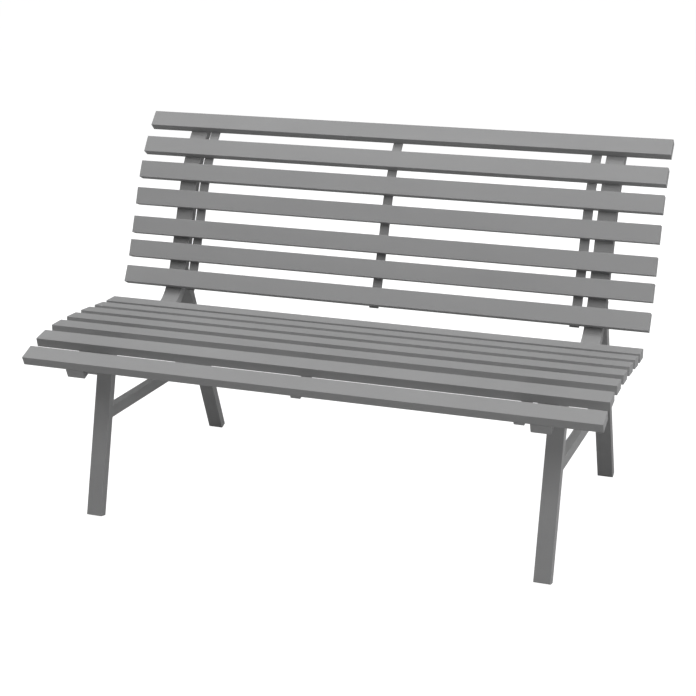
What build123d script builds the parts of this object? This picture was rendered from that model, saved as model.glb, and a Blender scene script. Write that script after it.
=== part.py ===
from build123d import *
import math
import os

# Garden bench in powder-coated steel tube. Millimetres, X along the bench, Y to the rear, Z up.
# The origin is on the ground under the middle of the bench.
# Two side frames carry a seat panel and a back panel, each of seven slats on three straps.

# --- slats ---
bench_length = 1240.0
slat_width = 40.0
slat_depth = 20.0
slat_corner = 1.0
slat_wall = 1.5
end_plate = 1.5

# --- curved line on which the slats rest, as seen from the side ---
front_end_y = -350.1
front_end_z = 352.8
seat_slopes = [23.0, 13.0, 2.5, -0.5, -3.0, -4.0, 1.0]
seat_pitches = [62.0, 64.0, 64.0, 62.0, 62.0, 57.0]
first_bend_share = 0.69
bend_share = 0.5
back_leans = [26.0, 21.5, 20.5, 19.5, 25.0, 34.5, 42.5]
back_pitches = [64.5, 57.0, 69.0, 63.5, 60.5, 68.0]
seat_to_corner = 52.3
corner_to_back = 37.6
knee_radius = 84.0
sharp_turn = 30.0
easing = 8.0

# --- side frames ---
rail_x = 499.7
rail_width = 41.0
rail_depth = 20.0
rail_corner = 1.2
frame_wall = 2.0
rail_top_gap = 4.0
leg_x = 501.8
leg_width = 36.0
leg_depth = 20.0
front_leg_lean = 13.5
front_foot_y = -293.7
rear_leg_lean = 22.3
rear_foot_y = 339.6
stretcher_width = 20.0
stretcher_height = 25.0
stretcher_top = 229.5
stretcher_corner = 1.2
stretcher_wall = 1.5
leg_notch = 4.0

# --- straps under the seat and behind the back ---
strap_xs = {"left": -457.7, "centre": 0.0, "right": 457.7}
strap_width = 21.0
strap_depth = 5.0
strap_drop = 2.5

# --- foot plugs ---
plug_flange = 2.5
plug_stem = 18.0
plug_play = 0.1
foot_land = 1.5

# --- bolts through the rails into nuts riveted in the slats ---
bolted_slats = [1, 5]
bolt_radius = 3.0
bolt_hole_radius = 3.3
bolt_length = 33.0
head_radius = 5.25
head_height = 3.3
head_taper = 20.0
socket_radius = 2.3
socket_depth = 2.0
washer_radius = 6.5
washer_depth = 1.6
nut_radius = 4.5
nut_collar_radius = 5.5
nut_collar_depth = 3.0
nut_length = 12.0

os.makedirs("parts", exist_ok=True)


def direction(angle):
    return (math.cos(math.radians(angle)), math.sin(math.radians(angle)))


def step(point, angle, distance):
    along = direction(angle)
    return (point[0] + along[0] * distance, point[1] + along[1] * distance)


def shifted(point, angle, distance):
    # a point moved square to the line, towards the sitter
    return step(point, angle + 90.0, distance)


def crossing(point_a, angle_a, point_b, angle_b):
    along_a = direction(angle_a)
    along_b = direction(angle_b)
    gap = (point_b[0] - point_a[0], point_b[1] - point_a[1])
    cross = along_a[0] * along_b[1] - along_a[1] * along_b[0]
    distance = (gap[0] * along_b[1] - gap[1] * along_b[0]) / cross
    return step(point_a, angle_a, distance)


def eased_radii(angles, depth):
    # radii on a line lying `depth` behind the slats, so that every bend keeps between two slats
    radii = []
    for before, after in zip(angles, angles[1:]):
        turn = after - before
        radius = easing / math.tan(math.radians(abs(turn) / 2))
        if abs(turn) > sharp_turn:
            radius = knee_radius
        radii.append(radius + math.copysign(depth, turn))
    return radii


def line_behind(start, end, corners, angles, depth):
    # the same line moved back by `depth`, with its corners on the bisectors
    points = [shifted(start, angles[0], -depth)]
    for corner, before, after in zip(corners, angles, angles[1:]):
        bisector = (before + after) / 2
        reach = depth / math.cos(math.radians((after - before) / 2))
        points.append(shifted(corner, bisector, -reach))
    points.append(shifted(end, angles[-1], -depth))
    return points


def bar_plane(x, point, angle):
    # plane square to X, with its own x along the line and its own y towards the sitter
    along = direction(angle)
    return Plane(origin=(x, point[0], point[1]), x_dir=(0, along[0], along[1]), z_dir=(1, 0, 0))


def end_plane(x, point, angle):
    # plane square to the line, facing along it
    along = direction(angle)
    return Plane(origin=(x, point[0], point[1]), x_dir=(1, 0, 0), z_dir=(0, along[0], along[1]))


def bolt_plane(x, point, angle):
    # plane on the resting face of a slat, facing the sitter
    return end_plane(x, point, angle + 90.0)


def save(part, name):
    part.label = name
    export_step(part, f"parts/{name}.step")


# --- resting line: middle of each slat's resting face, and the corners between slats ---
half_slat = slat_width / 2
start = (front_end_y, front_end_z)
seat_rests = [step(start, seat_slopes[0], half_slat)]
seat_corners = []
share = first_bend_share
for pitch, before, after in zip(seat_pitches, seat_slopes, seat_slopes[1:]):
    corner = step(seat_rests[-1], before, pitch * share)
    seat_corners.append(corner)
    seat_rests.append(step(corner, after, pitch * (1 - share)))
    share = bend_share
seat_end = step(seat_rests[-1], seat_slopes[-1], half_slat)
knee = step(seat_end, seat_slopes[-1], seat_to_corner)

back_slopes = [90.0 - lean for lean in back_leans]
back_rests = [step(knee, back_slopes[0], corner_to_back + half_slat)]
back_corners = []
for pitch, before, after in zip(back_pitches, back_slopes, back_slopes[1:]):
    corner = step(back_rests[-1], before, pitch * bend_share)
    back_corners.append(corner)
    back_rests.append(step(corner, after, pitch * (1 - bend_share)))
back_end = step(back_rests[-1], back_slopes[-1], half_slat)

# the lowest back slat bridges the top of the knee bend, so it lies a little flatter than the rail
knee_turn = back_slopes[0] - seat_slopes[-1]
overlap = knee_radius * math.tan(math.radians(knee_turn / 2)) - corner_to_back
lift = knee_radius - math.sqrt(knee_radius**2 - overlap**2)
bridge_tilt = math.degrees(math.asin(lift / slat_width))
lowest_top = step(back_rests[0], back_slopes[0], half_slat)
lowest_slope = back_slopes[0] - bridge_tilt
slat_slopes = [lowest_slope] + back_slopes[1:]
slat_rests = [step(lowest_top, lowest_slope, -half_slat)] + back_rests[1:]

# --- slats and their welded end plates ---
panels = {"seat": (seat_rests, seat_slopes), "back": (slat_rests, slat_slopes)}
tube_length = bench_length - 2 * end_plate
for panel, (rests, slopes) in panels.items():
    for index, (rest, slope) in enumerate(zip(rests, slopes)):
        middle = shifted(rest, slope, slat_depth / 2)
        with BuildPart() as slat:
            with BuildSketch(bar_plane(-tube_length / 2, middle, slope)):
                RectangleRounded(slat_width, slat_depth, slat_corner)
                Rectangle(slat_width - 2 * slat_wall, slat_depth - 2 * slat_wall, mode=Mode.SUBTRACT)
            extrude(amount=tube_length)
            if index in bolted_slats:
                for side in (-1, 1):
                    with BuildSketch(bolt_plane(side * rail_x, rest, slope)):
                        Circle(nut_radius)
                    extrude(amount=2 * slat_wall, mode=Mode.SUBTRACT)
        save(slat.part, f"{panel}_slat_{index + 1}")

        with BuildPart() as plates:
            for x in (-bench_length / 2, tube_length / 2):
                with BuildSketch(bar_plane(x, middle, slope)):
                    RectangleRounded(slat_width, slat_depth, slat_corner)
                extrude(amount=end_plate)
        save(plates.part, f"{panel}_slat_{index + 1}_end_plates")

# --- centre line of the side rail, from under the front slat to behind the top slat ---
rail_angles = seat_slopes + back_slopes
rail_corners = seat_corners + [knee] + back_corners
rail_start = step(start, seat_slopes[0], end_plate)
rail_end = step(back_end, back_slopes[-1], -rail_top_gap - end_plate)
half_rail = rail_depth / 2
rail_points = line_behind(rail_start, rail_end, rail_corners, rail_angles, half_rail)
rail_radii = eased_radii(rail_angles, half_rail)

# --- legs, as seen from the side: lower front corner, slope, and the stretch of rail above ---
third_slat = 2
front_foot = (front_foot_y, leg_depth * math.sin(math.radians(front_leg_lean)) - foot_land)
rear_foot = (rear_foot_y, -foot_land)
legs = {
    "front": (front_foot, 90.0 - front_leg_lean, seat_rests[third_slat], seat_slopes[third_slat]),
    "rear": (rear_foot, 90.0 + rear_leg_lean, back_rests[0], back_slopes[0]),
}
inner_width = leg_width - 2 * frame_wall
inner_depth = leg_depth - 2 * frame_wall

for side, name in ((-1, "left"), (1, "right")):
    x = side * rail_x
    with BuildLine(Plane.YZ.offset(x)) as rail_line:
        FilletPolyline(*rail_points, radius=rail_radii)
    rail_section = end_plane(x, rail_points[0], seat_slopes[0])

    # outer shape of the rail, to which the legs are cut
    with BuildPart() as rail_block:
        with BuildSketch(rail_section):
            RectangleRounded(rail_width, rail_depth, rail_corner)
        sweep(path=rail_line.line)

    with BuildPart() as rail_core:
        with BuildSketch(rail_section):
            Rectangle(rail_width - 2 * frame_wall, rail_depth - 2 * frame_wall)
        sweep(path=rail_line.line)

    with BuildPart() as side_rail:
        add(rail_block.part)
        add(rail_core.part, mode=Mode.SUBTRACT)
        for rests, slopes in panels.values():
            for index in bolted_slats:
                with BuildSketch(bolt_plane(x, rests[index], slopes[index])):
                    Circle(bolt_hole_radius)
                extrude(amount=-rail_depth - frame_wall, mode=Mode.SUBTRACT)
    save(side_rail.part, f"{name}_side_rail")

    # plates welded over both ends of the rail
    rail_ends = {"front": (start, seat_slopes[0]), "top": (rail_end, back_slopes[-1])}
    for end, (point, slope) in rail_ends.items():
        with BuildPart() as rail_plate:
            with BuildSketch(end_plane(x, shifted(point, slope, -half_rail), slope)):
                RectangleRounded(rail_width, rail_depth, rail_corner)
            extrude(amount=end_plate)
        save(rail_plate.part, f"{name}_rail_{end}_plate")

    x = side * leg_x
    leg_faces = {}
    for leg, (foot, slope, rest, rest_slope) in legs.items():
        under = shifted(rest, rest_slope, -rail_depth)
        heel = shifted(foot, slope, -leg_depth)
        leg_faces[leg] = (heel if leg == "front" else foot, slope)
        reach = max(math.dist(corner, crossing(corner, slope, under, rest_slope)) for corner in (foot, heel))
        foot_plane = end_plane(x, shifted(foot, slope, -leg_depth / 2), slope)

        with BuildPart() as leg_tube:
            with BuildSketch(foot_plane.offset(plug_flange)):
                RectangleRounded(leg_width, leg_depth, rail_corner)
                Rectangle(inner_width, inner_depth, mode=Mode.SUBTRACT)
            extrude(amount=reach + leg_notch - plug_flange)
            add(rail_block.part, mode=Mode.SUBTRACT)
        save(leg_tube.part, f"{name}_{leg}_leg")

        # the plug stands square on the leg and its lowest edge is cut level with the ground
        with BuildPart() as foot_plug:
            with BuildSketch(foot_plane):
                RectangleRounded(leg_width, leg_depth, rail_corner)
            extrude(amount=plug_flange)
            with BuildSketch(foot_plane.offset(plug_flange)):
                Rectangle(inner_width - 2 * plug_play, inner_depth - 2 * plug_play)
            extrude(amount=plug_stem)
            split(bisect_by=Plane.XY, keep=Keep.TOP)
        save(foot_plug.part, f"{name}_{leg}_foot_plug")

    # level stretcher between the legs, mitred to their faces
    outlines = []
    for inset in (0.0, stretcher_wall):
        upper = (0.0, stretcher_top - inset)
        lower = (0.0, stretcher_top - stretcher_height + inset)
        corners = [crossing(*leg_faces["front"], level, 0.0) for level in (lower, upper)]
        corners += [crossing(*leg_faces["rear"], level, 0.0) for level in (upper, lower)]
        outlines.append(corners)
    with BuildPart() as stretcher:
        with BuildSketch(Plane.YZ.offset(x)):
            Polygon(*outlines[0], align=None)
        extrude(amount=stretcher_width / 2, both=True)
        fillet(stretcher.edges().filter_by(Axis.Y), stretcher_corner)
        with BuildSketch(Plane.YZ.offset(x)):
            Polygon(*outlines[1], align=None)
        extrude(amount=stretcher_width / 2 - stretcher_wall, both=True, mode=Mode.SUBTRACT)
    save(stretcher.part, f"{name}_stretcher")

# --- straps welded across the slats, three under the seat and three behind the back ---
strap_foot = step(lowest_top, lowest_slope, -slat_width - strap_drop)
strap_head = step(back_end, back_slopes[-1], -rail_top_gap)
first_bend = crossing(lowest_top, lowest_slope, back_corners[0], back_slopes[1])
strap_lines = {
    "seat": (start, seat_end, seat_corners, seat_slopes),
    "back": (strap_foot, strap_head, [first_bend] + back_corners[1:], slat_slopes),
}
half_strap = strap_depth / 2
for panel, (first, last, corners, angles) in strap_lines.items():
    points = line_behind(first, last, corners, angles, half_strap)
    radii = eased_radii(angles, half_strap)
    for name, x in strap_xs.items():
        with BuildPart() as strap:
            with BuildLine(Plane.YZ.offset(x)) as strap_line:
                FilletPolyline(*points, radius=radii)
            with BuildSketch(end_plane(x, points[0], angles[0])):
                Rectangle(strap_width, strap_depth)
            sweep(path=strap_line.line)
        save(strap.part, f"{name}_{panel}_strap")

# --- bolts, washers and rivet nuts, four of each in either panel ---
for panel, (rests, slopes) in panels.items():
    planes = []
    for side in (-1, 1):
        for index in bolted_slats:
            planes.append(bolt_plane(side * rail_x, rests[index], slopes[index]))

    with BuildPart() as washers:
        for plane in planes:
            with BuildSketch(plane.offset(-rail_depth)):
                Circle(washer_radius)
                Circle(bolt_hole_radius, mode=Mode.SUBTRACT)
            extrude(amount=-washer_depth)
    save(washers.part, f"{panel}_washers")

    with BuildPart() as bolts:
        for plane in planes:
            under_head = plane.offset(-rail_depth - washer_depth)
            with BuildSketch(under_head):
                Circle(bolt_radius)
            extrude(amount=bolt_length)
            with BuildSketch(under_head):
                Circle(head_radius)
            extrude(amount=-head_height, taper=head_taper)
            with BuildSketch(under_head.offset(-head_height)):
                RegularPolygon(radius=socket_radius, side_count=6)
            extrude(amount=socket_depth, mode=Mode.SUBTRACT)
    save(bolts.part, f"{panel}_bolts")

    with BuildPart() as nuts:
        for plane in planes:
            with BuildSketch(plane):
                Circle(nut_radius)
            extrude(amount=nut_length)
            with BuildSketch(plane.offset(slat_wall)):
                Circle(nut_collar_radius)
            extrude(amount=nut_collar_depth)
            with BuildSketch(plane):
                Circle(bolt_radius)
            extrude(amount=nut_length, mode=Mode.SUBTRACT)
    save(nuts.part, f"{panel}_rivet_nuts")
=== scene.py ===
import math

import bmesh
import bpy
import numpy as np
from mathutils import Matrix, Vector


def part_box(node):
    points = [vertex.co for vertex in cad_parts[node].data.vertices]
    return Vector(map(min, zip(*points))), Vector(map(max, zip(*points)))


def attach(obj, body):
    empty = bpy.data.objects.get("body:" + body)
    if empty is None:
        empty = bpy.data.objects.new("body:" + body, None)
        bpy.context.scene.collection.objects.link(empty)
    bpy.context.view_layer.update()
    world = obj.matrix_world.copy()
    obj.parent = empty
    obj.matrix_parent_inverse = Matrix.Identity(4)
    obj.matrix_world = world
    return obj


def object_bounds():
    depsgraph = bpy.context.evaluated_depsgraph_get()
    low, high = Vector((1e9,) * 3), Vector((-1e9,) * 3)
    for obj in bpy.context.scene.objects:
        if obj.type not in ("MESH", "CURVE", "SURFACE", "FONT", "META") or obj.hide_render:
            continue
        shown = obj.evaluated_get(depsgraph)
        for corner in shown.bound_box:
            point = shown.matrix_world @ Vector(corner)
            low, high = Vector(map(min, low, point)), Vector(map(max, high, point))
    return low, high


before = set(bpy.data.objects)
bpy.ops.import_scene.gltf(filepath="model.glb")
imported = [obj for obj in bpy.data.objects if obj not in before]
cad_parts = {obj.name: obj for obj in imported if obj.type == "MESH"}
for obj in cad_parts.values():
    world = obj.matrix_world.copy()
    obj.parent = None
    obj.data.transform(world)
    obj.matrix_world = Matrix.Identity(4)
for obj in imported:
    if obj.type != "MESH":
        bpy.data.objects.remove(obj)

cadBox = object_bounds()
boxLow, boxHigh = cadBox
boxMiddle = (boxLow + boxHigh) / 2
nodeNames = sorted(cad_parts)
print("frame loaded:", len(nodeNames), "nodes")

# camera: where it stands round the bench, and what it aims at from the middle of the bench's box
cameraView = {
    "lens": 81.175,
    "azimuth": 20.205,
    "elevation": 16.526,
    "roll": 0.078,
    "distance": 3.4447,
    "aimOffset": (-0.0154, -0.0031, -0.0475),
    "farClip": 200.0,
}


def makeCamera(view):
    data = bpy.data.cameras.new("benchCamera")
    data.lens = view["lens"]
    data.clip_end = view["farClip"]
    camera = bpy.data.objects.new("benchCamera", data)
    bpy.context.scene.collection.objects.link(camera)
    around, above = math.radians(view["azimuth"]), math.radians(view["elevation"])
    level = math.cos(above)
    back = Vector((math.sin(around) * level, -math.cos(around) * level, math.sin(above)))
    camera.location = boxMiddle + Vector(view["aimOffset"]) + back * view["distance"]
    camera.rotation_mode = "QUATERNION"
    roll = Matrix.Rotation(math.radians(view["roll"]), 3, "Z").to_quaternion()
    camera.rotation_quaternion = (-back).to_track_quat("-Z", "Y") @ roll
    bpy.context.scene.camera = camera


makeCamera(cameraView)
print("camera ready")


# small helpers for node trees
def addNode(tree, kind, place=(0, 0), values=None, **settings):
    node = tree.nodes.new(kind)
    node.location = place
    for name, value in settings.items():
        setattr(node, name, value)
    for name, value in (values or {}).items():
        node.inputs[name].default_value = value
    return node


def join(tree, source, target):
    tree.links.new(source, target)


def feed(tree, value, socket):
    # a plain value is set on the socket, and anything else is joined to it
    if isinstance(value, (int, float, tuple)):
        socket.default_value = value
    elif value is not None:
        join(tree, value, socket)


def mathNode(tree, operation, first, second=None, place=(0, 0), clamp=False):
    node = addNode(tree, "ShaderNodeMath", place, operation=operation, use_clamp=clamp)
    feed(tree, first, node.inputs[0])
    feed(tree, second, node.inputs[1])
    return node.outputs[0]


def spread(tree, value, fromRange, toRange, place=(0, 0)):
    # one range of values stretched onto another
    node = addNode(tree, "ShaderNodeMapRange", place)
    join(tree, value, node.inputs["Value"])
    for name, number in zip(("From Min", "From Max", "To Min", "To Max"), (*fromRange, *toRange)):
        feed(tree, number, node.inputs[name])
    return node.outputs["Result"]


def noiseTexture(tree, vector, place, values):
    node = addNode(tree, "ShaderNodeTexNoise", place, values)
    join(tree, vector, node.inputs["Vector"])
    return node


def mixColour(tree, factor, first, second, place, blend="MIX"):
    node = addNode(tree, "ShaderNodeMix", place, data_type="RGBA", blend_type=blend)
    for name, value in (("Factor", factor), ("A", first), ("B", second)):
        feed(tree, (*value, 1) if isinstance(value, tuple) else value, node.inputs[name])
    return node.outputs["Result"]


def newGroup(name, inputs, outputs):
    # inputs are named numbers, after the vector that every group reads
    group = bpy.data.node_groups.new(name, "ShaderNodeTree")
    group.interface.new_socket(name="Vector", in_out="INPUT", socket_type="NodeSocketVector")
    for label, value in inputs.items():
        socket = group.interface.new_socket(name=label, in_out="INPUT", socket_type="NodeSocketFloat")
        socket.default_value = value
    for label in outputs:
        group.interface.new_socket(name=label, in_out="OUTPUT", socket_type="NodeSocketFloat")
    given = addNode(group, "NodeGroupInput", (-1200, 0))
    return group, given.outputs, addNode(group, "NodeGroupOutput", (600, 0)).inputs


def useGroup(tree, group, vector, place, values=None):
    node = addNode(tree, "ShaderNodeGroup", place, values, node_tree=group)
    join(tree, vector, node.inputs["Vector"])
    return node.outputs


def startMaterial(name, values):
    # a Principled shader with the values that are the same all over, and the place its patterns read
    material = bpy.data.materials.new(name)
    material.use_nodes = True
    tree = material.node_tree
    tree.nodes.clear()
    out = addNode(tree, "ShaderNodeOutputMaterial", (900, 0))
    shader = addNode(tree, "ShaderNodeBsdfPrincipled", (600, 0), values)
    join(tree, shader.outputs[0], out.inputs[0])
    place = addNode(tree, "ShaderNodeTexCoord", (-1100, 0)).outputs["Object"]
    return material, shader, place


def addBump(tree, height, look, shader):
    bump = addNode(tree, "ShaderNodeBump", (350, -400),
                   {"Strength": look["bumpStrength"], "Distance": look["bumpDistance"]})
    join(tree, height, bump.inputs["Height"])
    join(tree, bump.outputs["Normal"], shader.inputs["Normal"])


evenRange, plainRange = (-1.0, 1.0), (0.0, 1.0)

# powder grain: the orange peel of baked powder, soft clouds in tone, and darker or paler grains
powderGrain = {
    "peel": {"Detail": 2.0, "Roughness": 0.45}, "peelScale": 900.0,
    "speck": {"Detail": 1.0, "Roughness": 0.5}, "speckScale": 2600.0,
    "cloud": {"Detail": 4.0, "Roughness": 0.55}, "cloudScale": 6.0,
    "speckHeight": 0.25, "noiseRange": (0.3, 0.7),
}


def makeGrainGroup(look):
    scales = {"Peel Scale": look["peelScale"], "Speck Scale": look["speckScale"],
              "Cloud Scale": look["cloudScale"]}
    group, given, out = newGroup("powderGrain", scales, ("Height", "Cloud", "Speck"))
    peel, speck, cloud = [noiseTexture(group, given["Vector"], (-800, height), look[kind])
                          for kind, height in (("peel", 300), ("speck", 0), ("cloud", -300))]
    for node, scale in zip((peel, speck, cloud), scales):
        join(group, given[scale], node.inputs["Scale"])
    fine = mathNode(group, "MULTIPLY", speck.outputs["Fac"], look["speckHeight"], (-500, 100))
    height = mathNode(group, "ADD", peel.outputs["Fac"], fine, (-300, 200))
    join(group, height, out["Height"])
    for node, label, row in ((cloud, "Cloud", -200), (speck, "Speck", 0)):
        tone = spread(group, node.outputs["Fac"], look["noiseRange"], evenRange, (-300, row))
        join(group, tone, out[label])
    return group


# edge wear: one along the edges of a piece, broken up by noise
edgeWear = {
    "radius": 0.0015, "samples": 6, "turnRange": (0.995, 0.80),
    "breakup": 0.5, "breakupScale": 60.0, "coverage": 0.5,
    "noise": {"Detail": 5.0, "Roughness": 0.6}, "noiseRange": (0.35, 0.65),
}


def makeEdgeGroup(look):
    group, given, out = newGroup(
        "edgeWear",
        {"Radius": look["radius"], "Breakup Scale": look["breakupScale"], "Breakup": look["breakup"]},
        ("Edge", "Wear"))
    bevel = addNode(group, "ShaderNodeBevel", (-900, 300), samples=look["samples"])
    join(group, given["Radius"], bevel.inputs["Radius"])
    shape = addNode(group, "ShaderNodeNewGeometry", (-900, 100))
    match = addNode(group, "ShaderNodeVectorMath", (-700, 200), operation="DOT_PRODUCT")
    join(group, bevel.outputs["Normal"], match.inputs[0])
    join(group, shape.outputs["Normal"], match.inputs[1])
    edge = spread(group, match.outputs["Value"], look["turnRange"], plainRange, (-500, 200))
    noise = noiseTexture(group, given["Vector"], (-900, -200), look["noise"])
    join(group, given["Breakup Scale"], noise.inputs["Scale"])
    rough = spread(group, noise.outputs["Fac"], look["noiseRange"], evenRange, (-700, -200))
    broken = mathNode(group, "MULTIPLY", rough, given["Breakup"], (-500, -200))
    amount = mathNode(group, "ADD", broken, look["coverage"], (-300, -100), clamp=True)
    join(group, edge, out["Edge"])
    join(group, mathNode(group, "MULTIPLY", edge, amount, (-100, 100), clamp=True), out["Wear"])
    return group


# settled dust: one where a surface looks up, in soft patches
settledDust = {
    "upRange": (0.3, 1.0), "patchScale": 9.0,
    "noise": {"Detail": 6.0, "Roughness": 0.62}, "noiseRange": (0.35, 0.7),
}


def makeDustGroup(look):
    group, given, out = newGroup("settledDust", {"Patch Scale": look["patchScale"]}, ("Dust",))
    shape = addNode(group, "ShaderNodeNewGeometry", (-900, 200))
    parts = addNode(group, "ShaderNodeSeparateXYZ", (-700, 200))
    join(group, shape.outputs["Normal"], parts.inputs[0])
    upward = spread(group, parts.outputs["Z"], look["upRange"], plainRange, (-500, 200))
    patches = noiseTexture(group, given["Vector"], (-900, -100), look["noise"])
    join(group, given["Patch Scale"], patches.inputs["Scale"])
    patch = spread(group, patches.outputs["Fac"], look["noiseRange"], plainRange, (-500, -100))
    join(group, mathNode(group, "MULTIPLY", upward, patch, (-200, 100)), out["Dust"])
    return group


grainGroup = makeGrainGroup(powderGrain)
edgeGroup = makeEdgeGroup(edgeWear)
dustGroup = makeDustGroup(settledDust)

# the grey powder coat of slats, frames and welds; stretch draws its streaks out along the slats
slatCoat = {
    "name": "slatPowderCoat",
    "colour": (0.310, 0.310, 0.312), "edgeColour": (0.37, 0.37, 0.372), "dustColour": (0.42, 0.415, 0.40),
    "cloud": 0.025, "speck": 0.06, "edge": 0.25, "dust": 0.05,
    "roughness": (0.59, 0.69), "specular": 0.36, "peelScale": 900.0,
    "bumpStrength": 0.35, "bumpDistance": 0.0003,
    "shift": (0.0, 0.0, 0.0), "stretch": (0.12, 1.0, 1.0),
    "streak": {"Scale": 14.0, "Detail": 4.0, "Roughness": 0.6}, "streakRange": (0.3, 0.7),
}
frameCoat = dict(slatCoat, name="framePowderCoat", colour=(0.305, 0.305, 0.307),
                 shift=(3.1, 1.7, 0.4), stretch=(1.0, 1.0, 1.0))
weldCoat = dict(slatCoat, name="weldPowderCoat", colour=(0.30, 0.30, 0.302), dust=0.0, edge=0.0,
                peelScale=1500.0, stretch=(1.0, 1.0, 1.0))


def makeCoat(coat):
    material, shader, place = startMaterial(coat["name"], {"Specular IOR Level": coat["specular"]})
    tree = material.node_tree
    moved = addNode(tree, "ShaderNodeMapping", (-900, -200),
                    {"Location": coat["shift"], "Scale": coat["stretch"]})
    join(tree, place, moved.inputs["Vector"])
    drawn = moved.outputs["Vector"]
    grain = useGroup(tree, grainGroup, place, (-600, 200), {"Peel Scale": coat["peelScale"]})
    edges = useGroup(tree, edgeGroup, place, (-600, 0))
    dust = useGroup(tree, dustGroup, drawn, (-600, -150))
    streak = noiseTexture(tree, drawn, (-600, -350), coat["streak"])

    # tone: clouds, long streaks and grains, as a factor round one
    clouds = mathNode(tree, "MULTIPLY", grain["Cloud"], coat["cloud"], (-350, 300))
    streaks = spread(tree, streak.outputs["Fac"], coat["streakRange"],
                     (-coat["cloud"], coat["cloud"]), (-350, -350))
    specks = mathNode(tree, "MULTIPLY", grain["Speck"], coat["speck"], (-350, 200))
    soft = mathNode(tree, "ADD", clouds, streaks, (-200, 250))
    tone = mathNode(tree, "ADD", soft, specks, (-100, 250))
    factor = mathNode(tree, "ADD", tone, 1.0, (0, 250))
    grey = addNode(tree, "ShaderNodeCombineColor", (50, 150))
    for channel in grey.inputs:
        join(tree, factor, channel)
    colour = mixColour(tree, 1.0, coat["colour"], grey.outputs[0], (150, 300), "MULTIPLY")

    wearAmount = mathNode(tree, "MULTIPLY", edges["Wear"], coat["edge"], (150, 50))
    colour = mixColour(tree, wearAmount, colour, coat["edgeColour"], (300, 200))
    dustAmount = mathNode(tree, "MULTIPLY", dust["Dust"], coat["dust"], (150, -100))
    colour = mixColour(tree, dustAmount, colour, coat["dustColour"], (450, 200))
    join(tree, colour, shader.inputs["Base Color"])

    sheen = spread(tree, grain["Cloud"], evenRange, coat["roughness"], (150, -250))
    sheen = mathNode(tree, "ADD", sheen, dustAmount, (300, -250), clamp=True)
    join(tree, sheen, shader.inputs["Roughness"])
    addBump(tree, grain["Height"], coat, shader)
    return material


slatMaterial, frameMaterial, weldMaterial = makeCoat(slatCoat), makeCoat(frameCoat), makeCoat(weldCoat)

# grey moulded plastic of the foot plugs, scuffed where it stands on the ground
plugPlastic = {
    "colour": (0.27, 0.27, 0.272), "scuffColour": (0.36, 0.355, 0.34),
    "scuffHeight": 0.010, "edgeScuff": 0.5,
    "scuff": {"Scale": 260.0, "Detail": 5.0, "Roughness": 0.7}, "scuffRange": (0.45, 0.7),
    "roughness": (0.55, 0.68), "specular": 0.4, "grainScale": 1800.0,
    "bumpStrength": 0.3, "bumpDistance": 0.0003,
}


def makePlastic(plastic):
    material, shader, place = startMaterial("plugPlastic", {"Specular IOR Level": plastic["specular"]})
    tree = material.node_tree
    grain = useGroup(tree, grainGroup, place, (-600, 200), {"Peel Scale": plastic["grainScale"]})
    edges = useGroup(tree, edgeGroup, place, (-600, 0))
    parts = addNode(tree, "ShaderNodeSeparateXYZ", (-600, -200))
    join(tree, place, parts.inputs[0])
    low = spread(tree, parts.outputs["Z"], (0.0, plastic["scuffHeight"]), (1.0, 0.0), (-400, -200))
    scuff = noiseTexture(tree, place, (-600, -400), plastic["scuff"])
    patches = spread(tree, scuff.outputs["Fac"], plastic["scuffRange"], plainRange, (-400, -400))
    marks = mathNode(tree, "MULTIPLY", low, patches, (-200, -300))
    worn = mathNode(tree, "MULTIPLY", edges["Wear"], plastic["edgeScuff"], (-300, 0))
    marks = mathNode(tree, "MAXIMUM", marks, worn, (0, -200))
    colour = mixColour(tree, marks, plastic["colour"], plastic["scuffColour"], (200, 200))
    join(tree, colour, shader.inputs["Base Color"])
    rough = spread(tree, grain["Cloud"], evenRange, plastic["roughness"], (200, -200))
    join(tree, rough, shader.inputs["Roughness"])
    addBump(tree, grain["Height"], plastic, shader)
    return material


# zinc-plated bolts, washers and rivet nuts
zincPlate = {
    "colour": (0.56, 0.57, 0.58), "dullColour": (0.40, 0.41, 0.42), "spangleScale": 420.0,
    "roughness": (0.26, 0.46), "edgeRadius": 0.0004, "bumpStrength": 0.2, "bumpDistance": 0.0002,
}


def makeZinc(zinc):
    material, shader, place = startMaterial("zincPlate", {"Metallic": 1.0})
    tree = material.node_tree
    spangle = addNode(tree, "ShaderNodeTexVoronoi", (-600, 200), {"Scale": zinc["spangleScale"]})
    join(tree, place, spangle.inputs["Vector"])
    grain = useGroup(tree, grainGroup, place, (-600, -100))
    edges = useGroup(tree, edgeGroup, place, (-600, -300), {"Radius": zinc["edgeRadius"]})
    parts = addNode(tree, "ShaderNodeSeparateColor", (-400, 200))
    join(tree, spangle.outputs["Color"], parts.inputs[0])
    dull = mathNode(tree, "SUBTRACT", parts.outputs[0], edges["Edge"], (-200, 100), clamp=True)
    colour = mixColour(tree, dull, zinc["colour"], zinc["dullColour"], (200, 200))
    join(tree, colour, shader.inputs["Base Color"])
    rough = spread(tree, parts.outputs[1], plainRange, zinc["roughness"], (200, -200))
    join(tree, rough, shader.inputs["Roughness"])
    addBump(tree, grain["Height"], zinc, shader)
    return material


plugMaterial, zincMaterial = makePlastic(plugPlastic), makeZinc(zincPlate)


def materialFor(name):
    if "foot_plug" in name:
        return plugMaterial
    if name.endswith(("_bolts", "_washers", "_rivet_nuts")):
        return zincMaterial
    if "slat" in name:
        return slatMaterial
    return frameMaterial


for name in nodeNames:
    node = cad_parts[name]
    if not node.material_slots:
        node.data.materials.append(None)
    for slot in node.material_slots:
        slot.material = materialFor(name)
print("materials set on every node")

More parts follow.
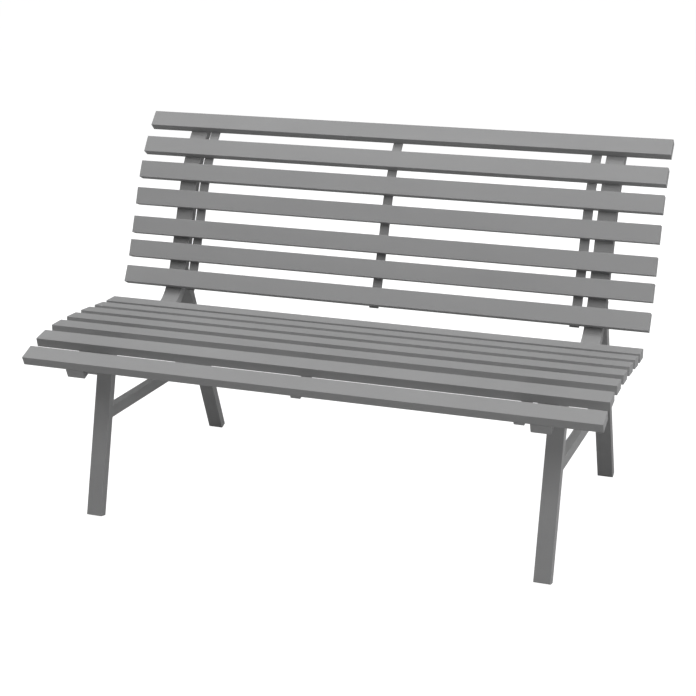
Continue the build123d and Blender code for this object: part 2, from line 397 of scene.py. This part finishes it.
# weld beads: a rippled round bead along each joint
weldBeads = {
    "radius": 0.0015, "rippleLength": 0.0022, "rippleHeight": 0.14, "wander": 0.25,
    "wanderScale": 70.0, "seed": 4.0, "pointSpacing": 0.0005, "sides": 8,
    "strapStitch": 0.016,  # length of a stitch along the edge of a strap
    "seamGap": 0.00002, "tubeGap": 0.00001,  # points nearer than this are one
    "sideTilt": 0.05, "cutTilt": 0.2,  # how far a tube's sides and its cut ends face along it
}
beadInputs = {
    "Radius": weldBeads["radius"], "Ripple Length": weldBeads["rippleLength"],
    "Ripple Height": weldBeads["rippleHeight"], "Wander": weldBeads["wander"],
    "Wander Scale": weldBeads["wanderScale"], "Seed": weldBeads["seed"],
    "Point Spacing": weldBeads["pointSpacing"],
}


def makeBeadTree():
    tree = bpy.data.node_groups.new("weldBeadTree", "GeometryNodeTree")
    tree.is_modifier = True
    sockets = [("Geometry", "Geometry"), *[(label, "Float") for label in beadInputs],
               ("Sides", "Int"), ("Material", "Material")]
    for label, kind in sockets:
        tree.interface.new_socket(name=label, in_out="INPUT", socket_type=f"NodeSocket{kind}")
    tree.interface.new_socket(name="Geometry", in_out="OUTPUT", socket_type="NodeSocketGeometry")
    given = addNode(tree, "NodeGroupInput", (-1000, 0)).outputs
    out = addNode(tree, "NodeGroupOutput", (1000, 0))
    seams = addNode(tree, "GeometryNodeMeshToCurve", (-800, 200))
    points = addNode(tree, "GeometryNodeResampleCurve", (-600, 200), mode="LENGTH")
    along = addNode(tree, "GeometryNodeSplineParameter", (-1000, -300))
    place = addNode(tree, "GeometryNodeInputPosition", (-1000, -500))
    noise = addNode(tree, "ShaderNodeTexNoise", (-800, -500), {"Detail": 2.0}, noise_dimensions="4D")
    profile = addNode(tree, "GeometryNodeCurvePrimitiveCircle", (-200, 0))
    bead = addNode(tree, "GeometryNodeCurveToMesh", (0, 200), {"Fill Caps": True})
    smooth = addNode(tree, "GeometryNodeSetShadeSmooth", (200, 200))
    real = addNode(tree, "GeometryNodeRealizeInstances", (400, 200))
    coat = addNode(tree, "GeometryNodeSetMaterial", (600, 200))
    join(tree, given["Geometry"], seams.inputs["Mesh"])
    join(tree, seams.outputs["Curve"], points.inputs["Curve"])
    join(tree, given["Point Spacing"], points.inputs["Length"])
    join(tree, place.outputs["Position"], noise.inputs["Vector"])
    join(tree, given["Seed"], noise.inputs["W"])
    join(tree, given["Wander Scale"], noise.inputs["Scale"])

    # thickness along the seam: one, plus the ripples, plus a slow wander
    ripples = mathNode(tree, "DIVIDE", along.outputs["Length"], given["Ripple Length"], (-800, -300))
    turns = mathNode(tree, "MULTIPLY", ripples, math.tau, (-650, -300))
    wave = mathNode(tree, "SINE", turns, place=(-500, -300))
    ripple = mathNode(tree, "MULTIPLY", wave, given["Ripple Height"], (-350, -300))
    offCentre = mathNode(tree, "SUBTRACT", noise.outputs["Fac"], 0.5, (-600, -500))
    drift = mathNode(tree, "MULTIPLY", offCentre, given["Wander"], (-350, -500))
    change = mathNode(tree, "ADD", ripple, drift, (-200, -350))
    thickness = mathNode(tree, "ADD", change, 1.0, (-50, -350))

    join(tree, given["Radius"], profile.inputs["Radius"])
    join(tree, given["Sides"], profile.inputs["Resolution"])
    join(tree, points.outputs["Curve"], bead.inputs["Curve"])
    join(tree, profile.outputs["Curve"], bead.inputs["Profile Curve"])
    join(tree, thickness, bead.inputs["Scale"])
    join(tree, bead.outputs["Mesh"], smooth.inputs["Geometry"])
    join(tree, smooth.outputs["Geometry"], real.inputs["Geometry"])
    join(tree, real.outputs["Geometry"], coat.inputs["Geometry"])
    join(tree, given["Material"], coat.inputs["Material"])
    join(tree, coat.outputs["Geometry"], out.inputs["Geometry"])
    return tree


def mergePoints(grid, distance):
    bmesh.ops.remove_doubles(grid, verts=grid.verts, dist=distance)


def weldAlong(name, seams, tree):
    # seams are short straight stretches, each a pair of points
    mesh = bpy.data.meshes.new(name + "Seams")
    points = [tuple(point) for seam in seams for point in seam]
    mesh.from_pydata(points, [(2 * index, 2 * index + 1) for index in range(len(seams))], [])
    joined = bmesh.new()
    joined.from_mesh(mesh)
    mergePoints(joined, weldBeads["seamGap"])
    joined.to_mesh(mesh)
    joined.free()
    guide = bpy.data.objects.new(name + "Guide", mesh)
    bpy.context.scene.collection.objects.link(guide)
    modifier = guide.modifiers.new("beads", "NODES")
    modifier.node_group = tree
    values = dict(beadInputs, Sides=weldBeads["sides"], Material=weldMaterial)
    for socket in tree.interface.items_tree:
        if socket.in_out == "INPUT" and socket.name in values:
            modifier[socket.identifier] = values[socket.name]
    evaluated = guide.evaluated_get(bpy.context.evaluated_depsgraph_get())
    beads = bpy.data.objects.new(name, bpy.data.meshes.new_from_object(evaluated))
    beads.data.name = name
    bpy.data.objects.remove(guide)
    bpy.data.meshes.remove(mesh)
    bpy.context.scene.collection.objects.link(beads)
    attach(beads, "root")
    print(name, len(beads.data.polygons), "faces")


def meshPoints(name):
    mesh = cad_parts[name].data
    points = np.empty(len(mesh.vertices) * 3)
    mesh.vertices.foreach_get("co", points)
    return points.reshape(-1, 3)


def mainDirection(points):
    return np.linalg.svd(points - points.mean(axis=0), full_matrices=False)[2][0]


def tubeEndSeams(name, topOnly):
    # the outline of a cut tube end, where the tube's outer faces meet the cut
    points = meshPoints(name)
    middle, axis = Vector(points.mean(axis=0)), Vector(mainDirection(points))
    if axis.z < 0:
        axis.negate()
    tube = bmesh.new()
    tube.from_mesh(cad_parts[name].data)
    mergePoints(tube, weldBeads["tubeGap"])
    seams = []
    for edge in tube.edges:
        if len(edge.link_faces) != 2:
            continue
        start, end = [point.co.copy() for point in edge.verts]
        if topOnly and ((start + end) / 2 - middle).dot(axis) < 0:
            continue
        side, cut = sorted(edge.link_faces, key=lambda face: abs(face.normal.dot(axis)))
        isEnd = (abs(side.normal.dot(axis)) < weldBeads["sideTilt"]
                 and abs(cut.normal.dot(axis)) > weldBeads["cutTilt"])
        isOutside = (side.calc_center_median() - middle).dot(side.normal) > 0
        if isEnd and isOutside:
            seams.append((start, end))
    tube.free()
    return seams


def strapSeams(strap, slat):
    # stitches on both edges of a strap, across the face that a slat rests on
    low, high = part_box(strap)
    points = meshPoints(slat)[:, 1:]
    middle = (points.max(axis=0) + points.min(axis=0)) / 2
    across = mainDirection(points)
    across = across if across.sum() > 0 else -across  # rearwards and up
    towardsSitter = np.array([-across[1], across[0]])
    depth = np.ptp((points - middle) @ towardsSitter)
    rest = middle - towardsSitter * depth / 2
    reach = across * weldBeads["strapStitch"] / 2
    return [[(x, *(rest - reach)), (x, *(rest + reach))] for x in (low.x, high.x)]


beadTree = makeBeadTree()
frameSeams = []
for side in ("left", "right"):
    for leg in ("front", "rear"):
        frameSeams += tubeEndSeams(f"{side}_{leg}_leg", topOnly=True)
    frameSeams += tubeEndSeams(f"{side}_stretcher", topOnly=False)
weldAlong("frameWeldBeads", frameSeams, beadTree)
for panel in ("seat", "back"):
    slats = [name for name in nodeNames if name.startswith(f"{panel}_slat_") and name[-1].isdigit()]
    stitches = []
    for strap in ("left", "centre", "right"):
        for slat in slats:
            stitches += strapSeams(f"{strap}_{panel}_strap", slat)
    weldAlong(f"{panel}StrapWeldBeads", stitches, beadTree)

# pale floor: it glows white where it is seen, and is grey for the light it gives back
floorPaint = {"size": 60.0, "glow": 1.0, "seenTone": 0.25, "bounceTone": 0.5}

# each lamp: strength in watts, size in metres, and where it stands round the bench
lamps = {
    "frontTopSoftbox": {"power": 48.0, "size": (3.5, 2.0), "place": (0.0, -2.4, 3.0)},
    "leftTopSoftbox": {"power": 65.0, "size": (2.5, 2.5), "place": (-2.9, 0.0, 2.9)},
    "rightTopSoftbox": {"power": 25.0, "size": (2.5, 2.5), "place": (2.9, 0.0, 2.9)},
    "rightSoftbox": {"power": 65.0, "size": (2.5, 2.5), "place": (3.8, -0.6, 1.5)},
    "rearSoftbox": {"power": 50.0, "size": (3.0, 2.0), "place": (0.0, 4.0, 1.8)},
    "overheadLamp": {"power": 22.0, "size": (1.2, 0.8), "place": (0.3, -0.6, 3.4)},
    "frontLowSoftbox": {"power": 3.0, "size": (3.0, 1.0), "place": (0.3, -3.2, 0.7)},
}

# the air round the bench: a faint fill, seen as white
sky = {"colour": (1.0, 1.0, 1.0), "fill": 0.01, "seen": 1.0}


def chooseWhenSeen(tree, seen, other, out):
    # one shader for what the camera sees, and the other for the light that reaches the bench
    choose = addNode(tree, "ShaderNodeMixShader", (400, 0))
    path = addNode(tree, "ShaderNodeLightPath", (0, 400))
    join(tree, path.outputs["Is Camera Ray"], choose.inputs["Fac"])
    join(tree, other.outputs[0], choose.inputs[1])
    join(tree, seen.outputs[0], choose.inputs[2])
    join(tree, choose.outputs[0], out.inputs[0])


def makeFloor(paint):
    half = paint["size"] / 2
    mesh = bpy.data.meshes.new("paleFloor")
    corners = [(-half, -half, 0), (half, -half, 0), (half, half, 0), (-half, half, 0)]
    mesh.from_pydata(corners, [], [(0, 1, 2, 3)])
    floor = bpy.data.objects.new("paleFloor", mesh)
    bpy.context.scene.collection.objects.link(floor)
    material = bpy.data.materials.new("paleFloorPaint")
    material.use_nodes = True
    tree = material.node_tree
    tree.nodes.clear()
    matt, bounce = [addNode(tree, "ShaderNodeBsdfDiffuse", place, {"Color": (tone, tone, tone, 1)})
                    for tone, place in ((paint["seenTone"], (0, 100)), (paint["bounceTone"], (0, -150)))]
    glow = addNode(tree, "ShaderNodeEmission", (0, 0), {"Strength": paint["glow"]})
    seen = addNode(tree, "ShaderNodeAddShader", (200, 50))
    join(tree, matt.outputs[0], seen.inputs[0])
    join(tree, glow.outputs[0], seen.inputs[1])
    chooseWhenSeen(tree, seen, bounce, addNode(tree, "ShaderNodeOutputMaterial", (600, 0)))
    mesh.materials.append(material)


def makeLamp(name, lamp):
    data = bpy.data.lights.new(name, "AREA")
    data.shape = "RECTANGLE"
    data.size, data.size_y = lamp["size"]
    data.energy = lamp["power"]
    holder = bpy.data.objects.new(name, data)
    bpy.context.scene.collection.objects.link(holder)
    holder.location = lamp["place"]
    holder.rotation_mode = "QUATERNION"
    holder.rotation_quaternion = (boxMiddle - holder.location).to_track_quat("-Z", "Y")


def makeSky(sky):
    world = bpy.data.worlds.new("studioAir")
    bpy.context.scene.world = world
    world.use_nodes = True
    tree = world.node_tree
    tree.nodes.clear()
    fill, backdrop = [addNode(tree, "ShaderNodeBackground", place,
                              {"Color": (*sky["colour"], 1), "Strength": sky[strength]})
                      for strength, place in (("fill", (0, 0)), ("seen", (0, -200)))]
    chooseWhenSeen(tree, backdrop, fill, addNode(tree, "ShaderNodeOutputWorld", (600, 0)))


makeFloor(floorPaint)
for name, lamp in lamps.items():
    makeLamp(name, lamp)
makeSky(sky)
bpy.context.scene.view_settings.view_transform = "Standard"
print("studio ready")
